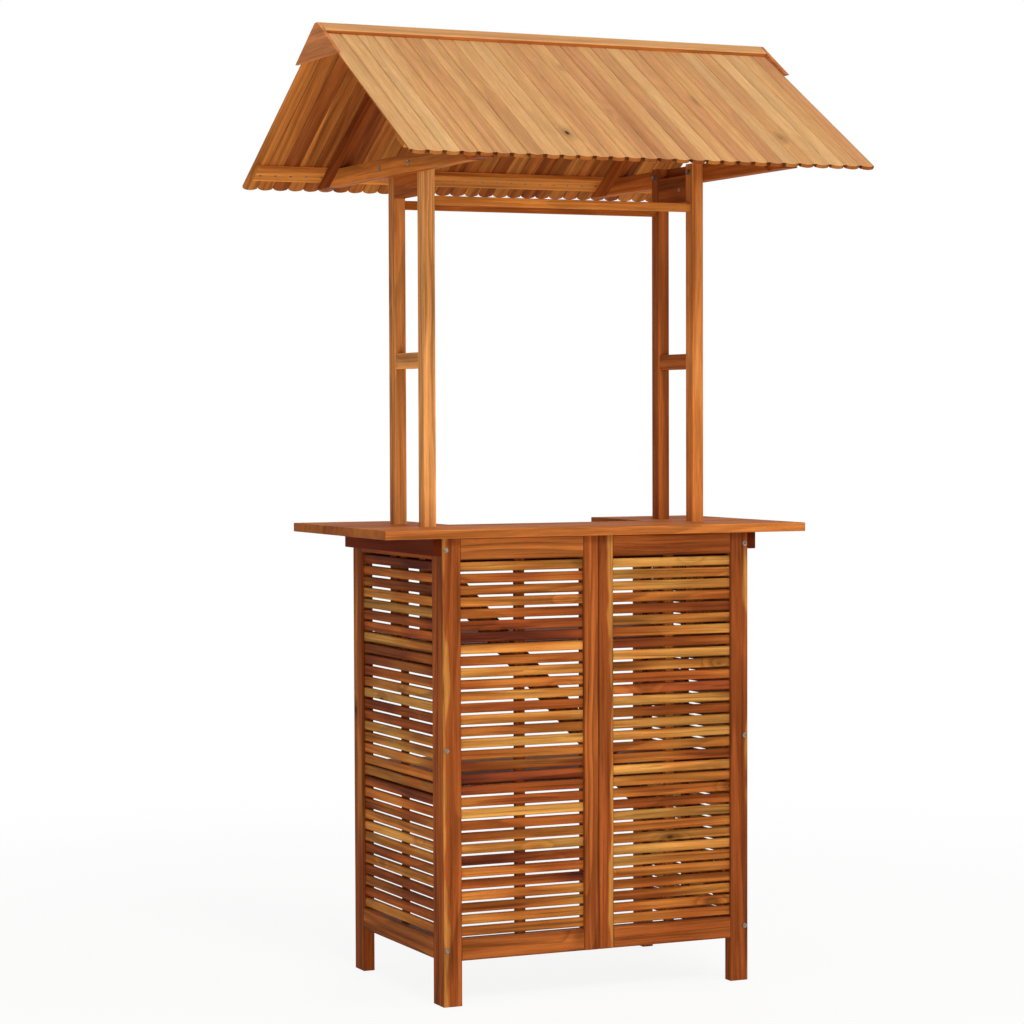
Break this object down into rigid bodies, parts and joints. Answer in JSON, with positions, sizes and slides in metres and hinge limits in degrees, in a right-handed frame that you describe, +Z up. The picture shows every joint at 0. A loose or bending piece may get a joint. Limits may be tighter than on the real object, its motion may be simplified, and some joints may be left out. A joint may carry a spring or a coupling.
{
  "type": "outdoor bar table",
  "caption": "Free-standing wooden garden bar with slatted panels, a boarded counter with a server's bay, posts with rungs and a small gable roof of scalloped boards.",
  "frame": {"origin": "middle of the footprint on the ground, under the middle of the ridge", "axes": "+X along the ridge to the guests' right, -Y towards the guests, +Z up"},
  "size_m": [1.13, 1.06, 2.17],
  "materials": {
    "panel_wood": "oiled hardwood, orange brown, with darker and paler streaks",
    "slat_wood": "oiled hardwood, slat by slat from golden to dark brown",
    "shelf_wood": "oiled hardwood, plain sawn",
    "counter_wood": "oiled hardwood boards with a soft sheen",
    "cleat_wood": "dark brown stained hardwood",
    "post_wood": "oiled hardwood, warm honey brown",
    "truss_wood": "oiled hardwood, darker red brown",
    "board_wood": "oiled hardwood boards, pale honey",
    "plate_wood": "oiled hardwood, reddish brown",
    "steel": "zinc plated steel, slightly brushed"
  },
  "bodies": {
    "root": {"front_left_outer_stile": "panel_wood", "front_left_inner_stile": "panel_wood", "front_left_rails": "panel_wood", "front_left_slats": "slat_wood", "front_right_outer_stile": "panel_wood", "front_right_inner_stile": "panel_wood", "front_right_rails": "panel_wood", "front_right_slats": "slat_wood", "left_side_front_stile": "panel_wood", "left_side_rear_stile": "panel_wood", "left_side_rails": "panel_wood", "left_side_slats": "slat_wood", "right_side_front_stile": "panel_wood", "right_side_rear_stile": "panel_wood", "right_side_rails": "panel_wood", "right_side_slats": "slat_wood", "front_slat_battens": "panel_wood", "left_side_slat_batten": "panel_wood", "right_side_slat_batten": "panel_wood", "front_brace": "panel_wood", "panel_bolts": "steel", "left_upper_shelf_bar": "shelf_wood", "right_upper_shelf_bar": "shelf_wood", "left_lower_shelf_bar": "shelf_wood", "right_lower_shelf_bar": "shelf_wood", "upper_shelf_boards": "shelf_wood", "lower_shelf_boards": "shelf_wood", "counter_front_boards": "counter_wood", "counter_left_boards": "counter_wood", "counter_right_boards": "counter_wood", "left_outer_cleat": "cleat_wood", "right_outer_cleat": "cleat_wood", "left_bay_cleat": "cleat_wood", "right_bay_cleat": "cleat_wood", "counter_bearers": "cleat_wood", "front_left_post": "post_wood", "rear_left_post": "post_wood", "front_right_post": "post_wood", "rear_right_post": "post_wood", "left_rung": "post_wood", "right_rung": "post_wood", "left_head_rail": "truss_wood", "right_head_rail": "truss_wood", "front_cross_rail": "truss_wood", "rear_cross_rail": "truss_wood", "left_tie_beam": "truss_wood", "right_tie_beam": "truss_wood", "front_left_rafter": "truss_wood", "rear_left_rafter": "truss_wood", "front_right_rafter": "truss_wood", "rear_right_rafter": "truss_wood", "frame_bolts": "steel", "front_roof_battens": "truss_wood", "rear_roof_battens": "truss_wood", "front_roof_boards": "board_wood", "rear_roof_boards": "board_wood", "front_ridge_cap": "board_wood", "rear_ridge_cap": "board_wood", "left_gable_plate": "plate_wood", "right_gable_plate": "plate_wood"}
  },
  "joints": []
}
